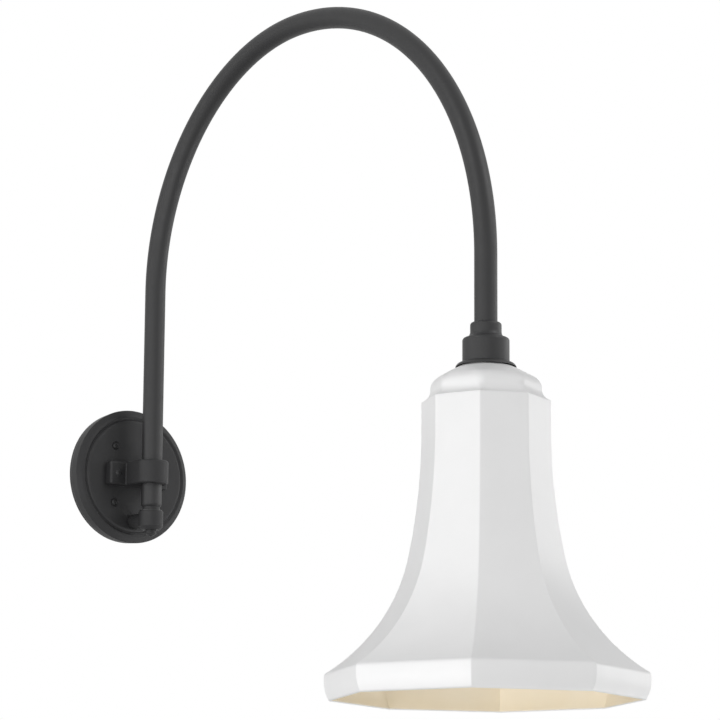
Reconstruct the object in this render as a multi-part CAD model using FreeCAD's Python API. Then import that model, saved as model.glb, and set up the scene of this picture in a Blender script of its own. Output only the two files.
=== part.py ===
import FreeCAD, Part
import math
import os

# Barn light: a black gooseneck arm on a round wall plate, with an eight-sided white shade.
# Millimetres. The wall is the plane Y = 0, the light stands out towards -Y and +Z is up.
# The origin is the middle of the wall plate on the wall.

# Turns in degrees, and counts of sides
full_turn = 360
quarter_turn = 90
half_turn = 180
shade_sides = 8
hex_sides = 6

# General allowances
overrun = 1.0           # how far a cutting tool passes the face that it opens
seat_gap = 0.05         # radial play of a piece that sits in its hole
running_gap = 0.06      # radial play of the turning arm
clear_gap = 0.3         # space between a moving and a fixed face

# Wall plate: a round hollow cover with a sloping rim, a groove and a raised disc
plate_r = 66.7
plate_back_r = 65.6
plate_edge = 13.2
plate_wall = 3.0
plate_edge_round = 0.9
rim_inner_r = 59.2
rim_rise = 4.0
groove_wall_slant = 0.8
disc_r = 57.2
disc_front = 18.8
disc_round = 3.4
gasket_thickness = 1.5
gasket_width = 4.0

# Adapter plate on the junction box in the wall
adapter_r = 53.0
adapter_thickness = 2.0
adapter_pad_r = 3.8
adapter_pad_height = 3.0
box_screw_spacing = 88.9
box_screw_hole_r = 2.3
wire_entry_r = 12.0

# Screws that hold the wall plate
cover_screw_x = 23.3
cover_screw_z = 28.2
m4_r = 2.0
dome_head_r = 3.5
dome_head_height = 2.2
dome_recess_r = 4.9
dome_recess_depth = 1.0
driver_slot_length = 4.0
driver_slot_width = 0.9
driver_slot_depth = 1.0
ground_screw_x = -37.0
ground_screw_z = 14.0

# Arm bracket: a foot on the disc and a round-nosed barrel for the arm
arm_offset = 47.8
bracket_height = 23.4
bracket_foot_half = 34.5
bracket_foot_thickness = 8.4
bracket_nose_r = 16.4
bracket_edge_round = 2.2
bracket_corner_round = 2.4
bracket_fillet = 1.2
bush_wall = 2.2
nut_across = 7.0
nut_thickness = 3.2
nut_reach = 1.0
friction_screw_r = 2.5
friction_screw_gap = 0.4
hex_socket_across = 2.5
hex_socket_depth = 2.5

# Arm: one bent tube
tube_r = 10.15
tube_wall = 1.6
arm_span = 498.2
wall_bend_r = 225.3
wall_leg_top = 182.6
wall_leg_bottom = -32.0
shade_leg = 70.9

# Turning end of the arm, below the bracket
spigot_flange_r = 9.9
spigot_flange_height = 1.0
spigot_neck_r = 8.7
spigot_cone_height = 1.6
spigot_neck_bottom = -37.2
spigot_r = 7.9
spigot_bore_r = 5.2
spigot_bottom = -47.6
spigot_in_tube = 18.0
clip_width = 1.8
clip_thickness = 1.1
clip_groove_depth = 0.9
clip_opening = 7.0
washer_r = 10.9
washer_thickness = 0.9

# Elbow that leads the wires from the arm into the wall plate
elbow_r = 12.1
elbow_height = 18.6
elbow_roof = 4.8
elbow_chamber_r = 9.2
elbow_floor = 4.0
elbow_chamfer = 3.2
elbow_top_chamfer = 0.6
stub_r = 7.2
stub_centre = -46.0
stub_bore_r = 4.2
stub_thread_r = 5.6
stub_thread_reach = 0.6
locknut_across = 14.0
locknut_thickness = 3.0
plug_thread_r = 4.2
plug_thread_length = 4.5
plug_knob_r = 5.4
plug_knob_height = 5.4
plug_socket_across = 5.0
plug_socket_depth = 3.0

# Neck: the ring on the tube's end and the cup over the lampholder
ring_r = 13.7
ring_height = 13.6
ring_round = 2.4
ring_grip = 9.8
ring_foot_width = 4.1
ring_foot_height = 5.2
ring_tail_r = 11.5
ring_tail_length = 5.8
grub_r = 2.0
grub_height = 8.3
grub_socket_across = 2.0
grub_socket_depth = 2.0
cup_r = 20.5
cup_height = 21.8
cup_wall = 2.2
cup_shoulder_r = 2.7
cup_roof = 2.2
cup_nut_across = 27.0
cup_nut_thickness = 3.0
nipple_r = 5.0
nipple_bore_r = 3.6
nipple_length = 13.0
nipple_in_ring = 7.8

# Skirt that covers the shade's top hole
skirt_turn_r = 20.8
skirt_drop = 3.9
skirt_round = 6.1
skirt_wall = 0.9
skirt_hub_r = 20.0
skirt_seat = 1.4
shade_gasket_thickness = 1.0
shade_gasket_inset = 0.6

# Shade: sizes across the flats, measured from the axis
shade_wall = 1.4
shade_turn = -1.75
shade_hole_r = 17.4
dome_flat = 20.4
dome_drop = 21.0
dome_flank = 45.64
dome_shoulder_r = 12.0
dome_shoulder_angle = 55.0
dome_crown = 0.3
dome_rim = 2.0
cove_height = 8.4
body_flat = 51.95
body_straight = 27.6
flare_top_r = 566.0
flare_top_angle = 11.07
flare_low_r = 153.3
lip_top_flat = 126.1
lip_flat = 128.9
lip_shoulder = 4.0
lip_straight = 4.6
lip_round = 16.0
lip_tuck = 4.4
shade_ring_r = 24.0
shade_ring_flat_r = 19.4
shade_ring_slant = 3.0
shade_ring_rim = 2.0

# Lampholder for a medium screw lamp
holder_r = 17.0
holder_length = 49.0
holder_top_drop = 1.9
holder_mouth_chamfer = 1.2
shell_r = 13.8
shell_wall = 0.5
shell_length = 24.5
shell_mouth = 3.6
shell_end_hole_r = 8.0
shell_end = 0.8
cavity_gap = 0.2
cavity_clear = 2.2
contact_r = 4.2
contact_thickness = 0.7
rivet_r = 1.6
strap_length = 30.0
strap_width = 13.0
strap_thickness = 1.5
strap_hub_r = 6.4
strap_hub_height = 4.5
holder_screw_r = 1.7
holder_screw_offset = 11.4
holder_screw_length = 12.0
holder_head_r = 2.9
holder_head_height = 1.6
terminal_offset = 12.0
terminal_head_r = 3.1
terminal_head_height = 2.2
terminal_length = 8.0
terminal_tip_gap = 1.0

# Places that follow from the sizes above, on the arm's own axis or out from the wall
disc_back = disc_front - plate_wall
ear_front = disc_front + bracket_foot_thickness
ear_screw_x = (bracket_nose_r + bracket_foot_half) / 2
tube_bore_r = tube_r - tube_wall
bush_r = tube_r + running_gap + bush_wall
barrel_bore_r = bush_r + seat_gap
elbow_top = spigot_neck_bottom - clear_gap - washer_thickness
elbow_bottom = elbow_top - elbow_height
apex = wall_leg_top + wall_bend_r
shade_bend_r = arm_span - wall_bend_r
shade_leg_top = apex - shade_bend_r
tube_end = shade_leg_top - shade_leg
ring_top = tube_end + ring_grip
ring_bottom = ring_top - ring_height
ring_tail = ring_bottom - ring_tail_length
cup_bottom = ring_bottom - cup_height
cup_shoulder = ring_bottom - cup_shoulder_r
cup_bore_r = cup_r - cup_wall
cup_ceiling = ring_bottom - cup_roof
skirt_bottom = cup_bottom - skirt_drop
skirt_base = cup_bottom - skirt_seat
shade_top = skirt_base - shade_gasket_thickness
nipple_top = ring_tail + nipple_in_ring
nipple_bottom = nipple_top - nipple_length
holder_top = nipple_bottom - holder_top_drop


def place(r, h):
    """Point of a turned outline: r out from the axis, h along it."""
    return FreeCAD.Vector(r, 0, h)


def outline(start, *steps):
    """Closed face. A step is a point to go straight to, or a point on an arc with the arc's end."""
    edges = []
    here = start
    for step in steps + (start,):
        if isinstance(step[0], tuple):
            through, end = step
            edges.append(Part.Arc(place(*here), place(*through), place(*end)).toShape())
            here = end
        elif step != here:
            edges.append(Part.makeLine(place(*here), place(*step)))
            here = step
    return Part.Face(Part.Wire(edges))


def arc_step(centre_r, centre_h, radius, begin, end):
    """Step along an arc about a centre, between two angles in degrees from the outward direction."""
    def spot(angle):
        turn = math.radians(angle)
        return (centre_r + radius * math.cos(turn), centre_h + radius * math.sin(turn))
    return (spot((begin + end) / 2), spot(end))


def turned(start, *steps):
    """Solid turned about the Z axis from an outline."""
    axis_foot = FreeCAD.Vector(0, 0, 0)
    axis = FreeCAD.Vector(0, 0, 1)
    return outline(start, *steps).revolve(axis_foot, axis, full_turn)


def rod(radius, low, high, x=0, y=0):
    return Part.makeCylinder(radius, high - low, FreeCAD.Vector(x, y, low))


def sleeve(outer, inner, low, high):
    return rod(outer, low, high).cut(rod(inner, low - overrun, high + overrun))


def block(x_low, x_high, y_low, y_high, z_low, z_high):
    corner = FreeCAD.Vector(x_low, y_low, z_low)
    return Part.makeBox(x_high - x_low, y_high - y_low, z_high - z_low, corner)


def hexagon(across, low, high, x=0, y=0):
    """Hexagonal prism with flats that face +Y and -Y."""
    corner_r = across / 2 / math.cos(math.pi / hex_sides)
    corners = []
    for side in range(hex_sides + 1):
        turn = math.radians(full_turn * side / hex_sides)
        corners.append(FreeCAD.Vector(x + corner_r * math.cos(turn), y + corner_r * math.sin(turn), low))
    return Part.Face(Part.makePolygon(corners)).extrude(FreeCAD.Vector(0, 0, high - low))


def moved(shape, x, y, z):
    return shape.translated(FreeCAD.Vector(x, y, z))


def spun(shape, degrees):
    """Copy turned about the Z axis."""
    copy = shape.copy()
    copy.rotate(FreeCAD.Vector(0, 0, 0), FreeCAD.Vector(0, 0, 1), degrees)
    return copy


def to_wall(shape, x=0, z=0):
    """Stands a piece on the wall: its Z axis becomes the way out of the wall."""
    copy = shape.copy()
    copy.rotate(FreeCAD.Vector(0, 0, 0), FreeCAD.Vector(1, 0, 0), quarter_turn)
    return moved(copy, x, 0, z)


def on_arm_axis(shape):
    return moved(shape, 0, -arm_offset, 0)


def on_shade_axis(shape):
    return moved(shape, 0, -arm_offset - arm_span, 0)


def round_radius(width, height):
    """Radius of an arc that starts along the height and ends a width aside."""
    return (width * width + height * height) / (2 * width)


def dome_screw(head_r, head_height, shank_r, tip, seat):
    """Dome-headed screw from its tip up to its head, with a cross slot."""
    dome_r = round_radius(head_height, head_r)
    dome_angle = math.degrees(math.asin(head_r / dome_r))
    crown = arc_step(0, seat + head_height - dome_r, dome_r, quarter_turn, quarter_turn - dome_angle)
    screw = turned((0, tip), (0, seat + head_height), crown, (shank_r, seat), (shank_r, tip))
    slot_floor = seat + head_height - driver_slot_depth
    slot_top = seat + head_height + overrun
    half_length = driver_slot_length / 2
    half_width = driver_slot_width / 2
    slot = block(-half_length, half_length, -half_width, half_width, slot_floor, slot_top)
    return screw.cut(slot).cut(spun(slot, quarter_turn))


def plain_screw(head_r, head_height, shank_r, tip, seat):
    """Flat cheese-headed screw with one slot."""
    screw = rod(shank_r, tip, seat).fuse(rod(head_r, seat, seat + head_height))
    half_length = head_r + overrun
    half_width = driver_slot_width / 2
    slot_floor = seat + head_height - driver_slot_depth
    slot_top = seat + head_height + overrun
    return screw.cut(block(-half_length, half_length, -half_width, half_width, slot_floor, slot_top))


def corner_places(x, z):
    return [(x, z), (-x, z), (x, -z), (-x, -z)]


def group(shapes):
    return Part.makeCompound(shapes)


def wall_gasket():
    """Foam ring between the wall and the plate's rim."""
    return to_wall(sleeve(plate_back_r - clear_gap, plate_back_r - gasket_width, 0, gasket_thickness))


def adapter_plate():
    """Steel plate screwed to the junction box; its four tapped pads take the cover screws."""
    plate = rod(adapter_r, 0, adapter_thickness)
    pad_top = adapter_thickness + adapter_pad_height
    for x, z in corner_places(cover_screw_x, cover_screw_z):
        plate = plate.fuse(rod(adapter_pad_r, 0, pad_top, x, z))
    for x, z in corner_places(cover_screw_x, cover_screw_z):
        plate = plate.cut(rod(m4_r + seat_gap, -overrun, pad_top + overrun, x, z))
    for side in (-1, 1):
        hole = rod(box_screw_hole_r, -overrun, pad_top, side * box_screw_spacing / 2, 0)
        plate = plate.cut(hole)
    plate = plate.cut(rod(m4_r + seat_gap, -overrun, pad_top, ground_screw_x, ground_screw_z))
    plate = plate.cut(rod(wire_entry_r, -overrun, pad_top))
    return to_wall(plate)


def ground_screw():
    """Short screw in the adapter plate for the earth wire."""
    screw = plain_screw(dome_head_r, dome_head_height, m4_r, 0, adapter_thickness)
    return to_wall(screw, ground_screw_x, ground_screw_z)


def backplate():
    """Hollow cast cover: a rim that slopes up to a groove, then a raised disc with a rounded edge."""
    inner_r = plate_back_r - plate_wall
    rim_ceiling = plate_edge - plate_wall
    disc_inner_r = disc_r - plate_wall
    edge_r = plate_r - plate_edge_round
    slope = math.atan2(rim_rise, edge_r - rim_inner_r)
    edge = arc_step(edge_r, plate_edge, plate_edge_round, 0, quarter_turn - math.degrees(slope))
    disc_edge = arc_step(disc_r - disc_round, disc_front - disc_round, disc_round, 0, quarter_turn)
    rim_top = plate_edge + rim_rise + plate_edge_round * math.cos(slope)
    plate = turned(
        (0, disc_back),
        (disc_inner_r, disc_back),
        (disc_inner_r, rim_ceiling),
        (inner_r, rim_ceiling),
        (inner_r, gasket_thickness),
        (plate_back_r, gasket_thickness),
        (plate_r, plate_edge),
        edge,
        (rim_inner_r + plate_edge_round * math.sin(slope), rim_top),
        (rim_inner_r - groove_wall_slant, disc_front - disc_round),
        (disc_r, disc_front - disc_round),
        disc_edge,
        (0, disc_front),
    )
    through = disc_front + overrun
    for x, z in corner_places(cover_screw_x, cover_screw_z):
        plate = plate.cut(rod(m4_r + clear_gap, 0, through, x, z))
        plate = plate.cut(rod(dome_recess_r, disc_front - dome_recess_depth, through, x, z))
    for side in (-1, 1):
        plate = plate.cut(rod(m4_r + seat_gap, 0, through, side * ear_screw_x, 0))
    plate = plate.cut(rod(stub_thread_r + seat_gap, 0, through, 0, stub_centre))
    return to_wall(plate)


def cover_screws():
    """Four dome-headed screws through the disc into the adapter plate's pads."""
    screw = dome_screw(dome_head_r, dome_head_height, m4_r, seat_gap, disc_front - dome_recess_depth)
    return group([to_wall(screw, x, z) for x, z in corner_places(cover_screw_x, cover_screw_z)])


def bracket_corners(body, corner_x):
    """The two upright edges in the plane of the ears' fronts, a distance to each side."""
    corners = []
    for edge in body.Edges:
        centre = edge.CenterOfMass
        upright = abs(centre.z) < seat_gap
        in_front = abs(centre.y + ear_front) < seat_gap
        if upright and in_front and abs(abs(centre.x) - corner_x) < seat_gap:
            corners.append(edge)
    return corners


def arm_bracket():
    """Cast bracket: a rounded foot with two ears and a barrel with a full-round nose."""
    low = -bracket_height / 2
    high = bracket_height / 2
    foot = block(-bracket_foot_half, bracket_foot_half, -ear_front, -disc_front, low, high)
    foot = foot.makeFillet(bracket_corner_round, bracket_corners(foot, bracket_foot_half))
    nose = rod(bracket_nose_r, low, high, 0, -arm_offset)
    web = block(-bracket_nose_r, bracket_nose_r, -arm_offset, -disc_front, low, high)
    body = foot.fuse(nose).fuse(web).removeSplitter()
    body = body.makeFillet(bracket_fillet, bracket_corners(body, bracket_nose_r))
    rims = []
    for edge in body.Edges:
        level = abs(edge.BoundBox.ZLength) < seat_gap
        if level and edge.CenterOfMass.y < -disc_front - seat_gap:
            rims.append(edge)
    body = body.makeFillet(bracket_edge_round, rims)
    body = body.cut(rod(barrel_bore_r, low - overrun, high + overrun, 0, -arm_offset))
    for side in (-1, 1):
        hole = to_wall(rod(m4_r + seat_gap, 0, ear_front + overrun), side * ear_screw_x, 0)
        body = body.cut(hole)
    grub_hole = rod(friction_screw_r + seat_gap, 0, bracket_nose_r + overrun)
    grub_hole.rotate(FreeCAD.Vector(0, 0, 0), FreeCAD.Vector(0, 1, 0), quarter_turn)
    return body.cut(on_arm_axis(grub_hole))


def bracket_screws():
    """Two dome-headed screws through the bracket's ears."""
    tip = disc_back - nut_thickness - nut_reach
    screw = dome_screw(dome_head_r, dome_head_height, m4_r, tip, ear_front)
    return group([to_wall(screw, side * ear_screw_x, 0) for side in (-1, 1)])


def bracket_nuts():
    """Two hexagon nuts behind the disc on the bracket's screws."""
    nut = hexagon(nut_across, disc_back - nut_thickness, disc_back)
    nut = nut.cut(rod(m4_r + seat_gap, 0, disc_front))
    return group([to_wall(nut, side * ear_screw_x, 0) for side in (-1, 1)])


def arm_bush():
    """Plastic sleeve in the barrel that the arm turns in."""
    half = bracket_height / 2
    return on_arm_axis(sleeve(bush_r, tube_r + running_gap, -half, half))


def friction_screw():
    """Grub screw in the barrel's side that presses the bush on the arm."""
    tip = bush_r + seat_gap
    end = bracket_nose_r - friction_screw_gap
    screw = rod(friction_screw_r, tip, end)
    screw = screw.cut(hexagon(hex_socket_across, end - hex_socket_depth, end + overrun))
    screw.rotate(FreeCAD.Vector(0, 0, 0), FreeCAD.Vector(0, 1, 0), quarter_turn)
    return on_arm_axis(screw)


def gooseneck_tube():
    """Steel tube: a leg at the wall, two quarter bends of unlike radius, a short leg to the shade."""
    wall_y = -arm_offset
    apex_y = wall_y - wall_bend_r
    shade_y = wall_y - arm_span
    foot = FreeCAD.Vector(0, wall_y, wall_leg_bottom)
    rise = FreeCAD.Vector(0, wall_y, wall_leg_top)
    top = FreeCAD.Vector(0, apex_y, apex)
    fall = FreeCAD.Vector(0, shade_y, shade_leg_top)
    end = FreeCAD.Vector(0, shade_y, tube_end)
    diagonal_share = math.sqrt(0.5)
    wall_part = wall_bend_r * diagonal_share
    shade_part = shade_bend_r * diagonal_share
    wall_mid = FreeCAD.Vector(0, apex_y + wall_part, wall_leg_top + wall_part)
    shade_mid = FreeCAD.Vector(0, apex_y - shade_part, shade_leg_top + shade_part)
    path = Part.Wire([
        Part.makeLine(foot, rise),
        Part.Arc(rise, wall_mid, top).toShape(),
        Part.Arc(top, shade_mid, fall).toShape(),
        Part.makeLine(fall, end),
    ])
    skins = []
    for radius in (tube_r, tube_bore_r):
        ring = Part.Wire(Part.makeCircle(radius, foot, FreeCAD.Vector(0, 0, 1)))
        skins.append(path.makePipe(Part.Face(ring)))
    tube = skins[0].cut(skins[1])
    grub_hole = to_wall(rod(grub_r + seat_gap, 0, tube_r + overrun), 0, ring_bottom + grub_height)
    grub_hole.rotate(FreeCAD.Vector(0, 0, 0), FreeCAD.Vector(0, 0, 1), half_turn)
    return tube.cut(on_shade_axis(grub_hole))


def pivot_spigot():
    """Hollow end piece pressed into the tube; its lower part turns in the elbow."""
    flange_bottom = wall_leg_bottom - spigot_flange_height
    neck_top = flange_bottom - spigot_cone_height
    groove_top = elbow_top - elbow_roof - clear_gap
    groove_bottom = groove_top - clip_thickness
    groove_r = spigot_r - clip_groove_depth
    plug_r = tube_bore_r - seat_gap
    return on_arm_axis(turned(
        (spigot_bore_r, wall_leg_bottom + spigot_in_tube),
        (plug_r, wall_leg_bottom + spigot_in_tube),
        (plug_r, wall_leg_bottom),
        (spigot_flange_r, wall_leg_bottom),
        (spigot_flange_r, flange_bottom),
        (spigot_neck_r, neck_top),
        (spigot_neck_r, spigot_neck_bottom),
        (spigot_r, spigot_neck_bottom),
        (spigot_r, groove_top),
        (groove_r, groove_top),
        (groove_r, groove_bottom),
        (spigot_r, groove_bottom),
        (spigot_r, spigot_bottom),
        (spigot_bore_r, spigot_bottom),
    ))


def spigot_clip():
    """Open spring clip in the spigot's groove that keeps the arm from lifting out."""
    top = elbow_top - elbow_roof - clear_gap - seat_gap
    bottom = top - clip_thickness + seat_gap * 2
    inner = spigot_r - clip_groove_depth + seat_gap
    outer = inner + clip_width
    half_gap = clip_opening / 2
    gap = block(-half_gap, half_gap, 0, outer + overrun, bottom - overrun, top + overrun)
    return on_arm_axis(sleeve(outer, inner, bottom, top).cut(gap))


def thrust_washer():
    """Plastic washer on the elbow's top that carries the arm."""
    inner = spigot_r + running_gap
    return on_arm_axis(sleeve(washer_r, inner, elbow_top, elbow_top + washer_thickness))


def elbow_housing():
    """Cast elbow under the arm: an upright chamber with a threaded stub into the wall plate."""
    chamber_top = elbow_top - elbow_roof
    chamber_floor = elbow_bottom + elbow_floor
    shell = turned(
        (0, elbow_bottom),
        (elbow_r - elbow_chamfer, elbow_bottom),
        (elbow_r, elbow_bottom + elbow_chamfer),
        (elbow_r, elbow_top - elbow_top_chamfer),
        (elbow_r - elbow_top_chamfer, elbow_top),
        (0, elbow_top),
    )
    thread_end = disc_back - locknut_thickness - stub_thread_reach
    stub = to_wall(rod(stub_r, disc_front, arm_offset), 0, stub_centre)
    thread = to_wall(rod(stub_thread_r, thread_end, arm_offset), 0, stub_centre)
    chamber = rod(elbow_chamber_r, chamber_floor, chamber_top)
    spigot_hole = rod(spigot_r + running_gap, chamber_top - overrun, elbow_top + overrun)
    plug_hole = rod(plug_thread_r + seat_gap, elbow_bottom - overrun, chamber_floor + overrun)
    body = on_arm_axis(shell).fuse(stub).fuse(thread)
    for hollow in (chamber, spigot_hole, plug_hole):
        body = body.cut(on_arm_axis(hollow))
    return body.cut(to_wall(rod(stub_bore_r, 0, arm_offset), 0, stub_centre))


def elbow_locknut():
    """Hexagon nut behind the disc on the elbow's threaded stub."""
    nut = hexagon(locknut_across, disc_back - locknut_thickness, disc_back)
    return to_wall(nut.cut(rod(stub_thread_r + seat_gap, 0, disc_front)), 0, stub_centre)


def elbow_plug():
    """Screw plug that closes the elbow, with a rounded knob and a hexagon socket."""
    knob_top = elbow_bottom
    knob_bottom = elbow_bottom - plug_knob_height
    round_r = plug_knob_r / 2
    knob_round = arc_step(plug_knob_r - round_r, knob_bottom + round_r, round_r, -quarter_turn, 0)
    plug = turned(
        (0, knob_bottom),
        (plug_knob_r - round_r, knob_bottom),
        knob_round,
        (plug_knob_r, knob_top),
        (plug_thread_r, knob_top),
        (plug_thread_r, knob_top + plug_thread_length),
        (0, knob_top + plug_thread_length),
    )
    socket = hexagon(plug_socket_across, knob_bottom - overrun, knob_bottom + plug_socket_depth)
    return on_arm_axis(plug.cut(socket))


def neck_ring():
    """Turned ring on the tube's end with a coved foot on the cup; its tail goes through the cup's roof."""
    shoulder = arc_step(ring_r - ring_round, ring_top - ring_round, ring_round, quarter_turn, 0)
    cove_r = round_radius(ring_foot_width, ring_foot_height)
    cove_angle = math.degrees(math.asin(ring_foot_height / cove_r))
    cove_top = ring_bottom + ring_foot_height
    cove = arc_step(ring_r + cove_r, cove_top, cove_r, half_turn, half_turn + cove_angle)
    bore = tube_r + seat_gap
    nipple_bore = nipple_r + seat_gap
    ring = turned(
        (bore, ring_top),
        (ring_r - ring_round, ring_top),
        shoulder,
        (ring_r, cove_top),
        cove,
        (ring_tail_r, ring_bottom),
        (ring_tail_r, ring_tail),
        (nipple_bore, ring_tail),
        (nipple_bore, tube_end),
        (bore, tube_end),
    )
    grub_hole = to_wall(rod(grub_r + seat_gap, 0, ring_r + overrun), 0, ring_bottom + grub_height)
    grub_hole.rotate(FreeCAD.Vector(0, 0, 0), FreeCAD.Vector(0, 0, 1), half_turn)
    return on_shade_axis(ring.cut(grub_hole))


def neck_grub_screw():
    """Grub screw in the back of the ring that pins the tube."""
    end = ring_r - seat_gap
    screw = rod(grub_r, tube_bore_r, end)
    screw = screw.cut(hexagon(grub_socket_across, end - grub_socket_depth, end + overrun))
    screw = to_wall(screw, 0, ring_bottom + grub_height)
    screw.rotate(FreeCAD.Vector(0, 0, 0), FreeCAD.Vector(0, 0, 1), half_turn)
    return on_shade_axis(screw)


def socket_cup():
    """Spun cup over the top of the lampholder, with a flat roof under the ring's foot."""
    shoulder = arc_step(cup_r - cup_shoulder_r, cup_shoulder, cup_shoulder_r, quarter_turn, 0)
    bore = ring_tail_r + seat_gap
    return on_shade_axis(turned(
        (bore, ring_bottom),
        (cup_r - cup_shoulder_r, ring_bottom),
        shoulder,
        (cup_r, cup_bottom),
        (cup_bore_r, cup_bottom),
        (cup_bore_r, cup_shoulder),
        (cup_r - cup_shoulder_r, cup_ceiling),
        (bore, cup_ceiling),
    ))


def cup_locknut():
    """Hexagon nut under the cup's roof on the ring's tail."""
    low = cup_ceiling - cup_nut_thickness
    nut = hexagon(cup_nut_across, low, cup_ceiling)
    return on_shade_axis(nut.cut(rod(ring_tail_r + seat_gap, low - overrun, cup_ceiling + overrun)))


def socket_nipple():
    """Threaded pipe that hangs the lampholder's strap from the ring."""
    return on_shade_axis(sleeve(nipple_r, nipple_bore_r, nipple_bottom, nipple_top))


def shade_skirt():
    """Domed skirt between the cup and the shade."""
    centre = cup_bottom - skirt_round
    edge_rise = skirt_round - skirt_drop
    inner_round = skirt_round - skirt_wall
    edge_angle = math.degrees(math.asin(edge_rise / skirt_round))
    under_angle = math.degrees(math.asin(edge_rise / inner_round))
    rim = arc_step(skirt_turn_r, centre, skirt_round, quarter_turn, edge_angle)
    under = arc_step(skirt_turn_r, centre, inner_round, under_angle, quarter_turn)
    under_edge = skirt_turn_r + inner_round * math.cos(math.radians(under_angle))
    return on_shade_axis(turned(
        (shade_hole_r, cup_bottom),
        (skirt_turn_r, cup_bottom),
        rim,
        (under_edge, skirt_bottom),
        under,
        (skirt_hub_r, cup_bottom - skirt_wall),
        (skirt_hub_r, skirt_base),
        (shade_hole_r, skirt_base),
    ))


def shade_gasket():
    """Thin seal between the skirt's hub and the shade's flat top."""
    outer = dome_flat - shade_gasket_inset
    return on_shade_axis(sleeve(outer, shade_hole_r + seat_gap, shade_top, skirt_base))


def shade_profile():
    """The shade's outer line in the middle of a flat side, from the top hole to the lip's edge."""
    flank_level = shade_top - dome_drop
    body_top = flank_level - dome_rim - cove_height
    shoulder_r = dome_flank - dome_shoulder_r
    crown_turn = math.radians(dome_shoulder_angle)
    crown_r = shoulder_r + dome_shoulder_r * math.cos(crown_turn)
    crown_h = flank_level + dome_shoulder_r * math.sin(crown_turn)
    crown_mid_r = (dome_flat + crown_r) / 2
    crown_mid_h = (shade_top + crown_h) / 2 + dome_crown
    shoulder = arc_step(shoulder_r, flank_level, dome_shoulder_r, dome_shoulder_angle, 0)
    cove_width = body_flat - dome_flank
    cove_r = round_radius(cove_width, cove_height)
    cove_angle = math.degrees(math.asin(cove_height / cove_r))
    cove = arc_step(dome_flank + cove_r, flank_level - dome_rim, cove_r, half_turn, half_turn + cove_angle)
    straight_end = body_top - body_straight
    bend_angle = half_turn + flare_top_angle
    first_flare = arc_step(body_flat + flare_top_r, straight_end, flare_top_r, half_turn, bend_angle)
    turn = math.radians(flare_top_angle)
    centre_r = body_flat + flare_top_r - (flare_top_r - flare_low_r) * math.cos(turn)
    centre_h = straight_end - (flare_top_r - flare_low_r) * math.sin(turn)
    lip_angle = math.degrees(math.acos((centre_r - lip_top_flat) / flare_low_r))
    last_flare = arc_step(centre_r, centre_h, flare_low_r, bend_angle, half_turn + lip_angle)
    lip_top = centre_h - flare_low_r * math.sin(math.radians(lip_angle))
    shoulder_round = round_radius(lip_flat - lip_top_flat, lip_shoulder)
    shoulder_angle = math.degrees(math.asin(lip_shoulder / shoulder_round))
    shoulder_level = lip_top - lip_shoulder
    lip_turn = arc_step(lip_flat - shoulder_round, shoulder_level, shoulder_round, shoulder_angle, 0)
    tuck_r = round_radius(lip_tuck, lip_round)
    tuck_angle = math.degrees(math.asin(lip_round / tuck_r))
    tuck_level = shoulder_level - lip_straight
    tuck = arc_step(lip_flat - tuck_r, tuck_level, tuck_r, 0, -tuck_angle)
    hole_flat = shade_hole_r * math.cos(math.pi / shade_sides) - shade_wall
    return [
        (hole_flat, shade_top),
        (dome_flat, shade_top),
        ((crown_mid_r, crown_mid_h), (crown_r, crown_h)),
        shoulder,
        (dome_flank, flank_level - dome_rim),
        cove,
        (body_flat, straight_end),
        first_flare,
        last_flare,
        lip_turn,
        (lip_flat, tuck_level),
        tuck,
    ]


def open_line(steps):
    """Wire along an open line of steps."""
    edges = []
    here = steps[0]
    for step in steps[1:]:
        if isinstance(step[0], tuple):
            through, end = step
            edges.append(Part.Arc(place(*here), place(*through), place(*end)).toShape())
            here = end
        else:
            edges.append(Part.makeLine(place(*here), place(*step)))
            here = step
    return Part.Wire(edges)


def shade():
    """Pressed steel shade: eight equal sides, each flat across and curved down its length."""
    line = open_line(shade_profile())
    wall = line.makeOffset2D(-shade_wall, 0, True, True)
    half_side = math.pi / shade_sides
    reach = lip_flat + shade_wall + overrun
    half_width = reach * math.tan(half_side)
    low = line.BoundBox.ZMin - overrun
    high = line.BoundBox.ZMax + overrun
    panel = wall.translated(FreeCAD.Vector(0, -half_width, 0)).extrude(FreeCAD.Vector(0, half_width * 2, 0))
    sector = Part.makePolygon([
        FreeCAD.Vector(0, 0, low),
        FreeCAD.Vector(reach, -half_width, low),
        FreeCAD.Vector(reach, half_width, low),
        FreeCAD.Vector(0, 0, low),
    ])
    panel = panel.common(Part.Face(sector).extrude(FreeCAD.Vector(0, 0, high - low)))
    # A corner, not a flat side, faces straight out from the wall
    side_angle = full_turn / shade_sides
    panels = [spun(panel, side_angle * (side + 1 / 2) + shade_turn) for side in range(shade_sides)]
    body = panels[0].fuse(panels[1:]).removeSplitter()
    body = body.cut(rod(shade_hole_r, low, high))
    return on_shade_axis(body)


def shade_ring():
    """Threaded ring on the lampholder that clamps the shade from inside."""
    top = shade_top - shade_wall
    bore = holder_r + seat_gap
    rim_top = top - shade_ring_slant
    rim_bottom = rim_top - shade_ring_rim
    return on_shade_axis(turned(
        (bore, top),
        (shade_ring_flat_r, top),
        (shade_ring_r, rim_top),
        (shade_ring_r, rim_bottom),
        (bore, rim_bottom),
    ))


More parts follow.
